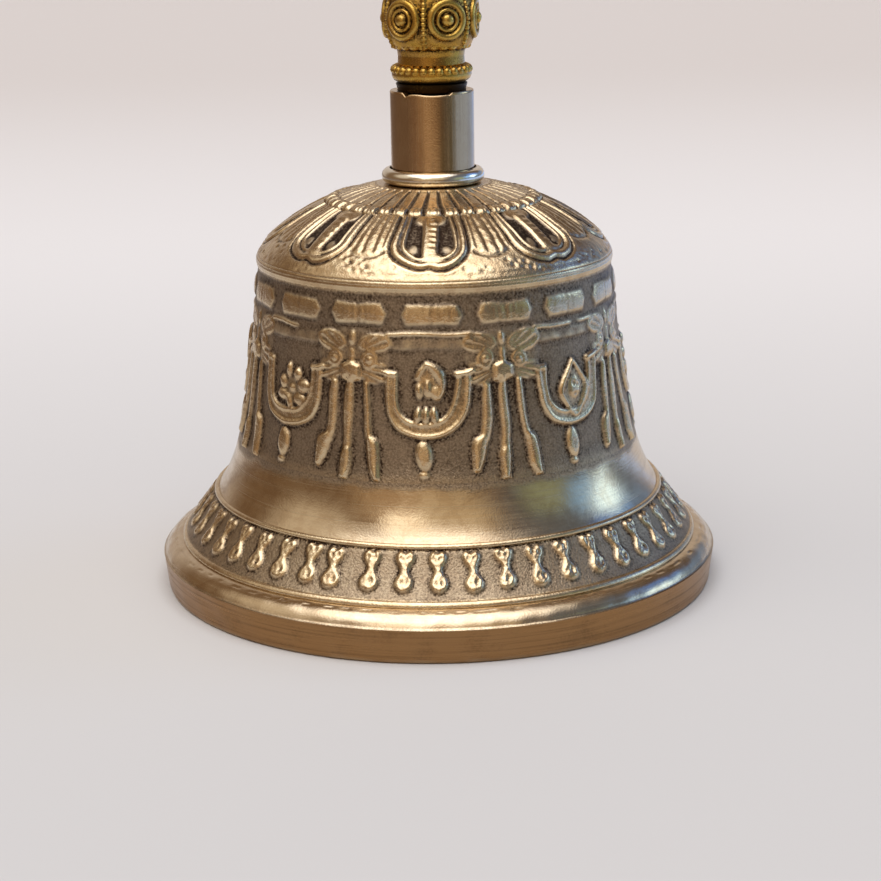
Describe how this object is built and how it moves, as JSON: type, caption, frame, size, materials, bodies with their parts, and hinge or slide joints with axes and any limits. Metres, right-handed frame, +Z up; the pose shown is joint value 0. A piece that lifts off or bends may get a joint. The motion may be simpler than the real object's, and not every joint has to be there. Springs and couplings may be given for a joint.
{
  "type": "tibetan hand bell",
  "caption": "Cast bronze hand bell with a flared mouth, a tube on its crown, a brass half vajra handle and a hanging clapper.",
  "frame": {"origin": "centre of the bell's mouth, in the plane that it stands on", "axes": "+Z up along the bell's axis towards the tip of the handle, +Y away from the picture's viewer, +X to the viewer's right"},
  "size_m": [0.09, 0.09, 0.1669],
  "materials": {
    "cast_bronze": "antique cast bronze, dark in its recesses and rubbed bright on its relief",
    "turned_bronze": "turned and lightly brushed bronze",
    "cast_brass": "cast yellow brass with dark recesses",
    "iron": "forged iron, oiled",
    "pitch": "hard black pitch"
  },
  "bodies": {
    "bell": {"bell_body": "cast_bronze", "collar_ring": "turned_bronze", "socket_tube": "turned_bronze", "pitch_fill": "pitch", "handle_stem": "cast_brass", "vajra_head": "cast_brass", "hanger_washer": "iron"},
    "hanger": {"hanger_pin": "iron"},
    "clapper": {"clapper_rod": "iron", "clapper_bulb": "cast_bronze"}
  },
  "joints": [
    {"name": "hanger_turn", "type": "hinge", "parent": "bell", "child": "hanger", "pos_m": [0, 0, 0.0528], "axis": [0, 0, 1], "continuous": true},
    {"name": "clapper_swing", "type": "hinge", "parent": "hanger", "child": "clapper", "pos_m": [0, 0, 0.0528], "axis": [1, 0, 0], "range_deg": [-34.5, 34.5]}
  ]
}
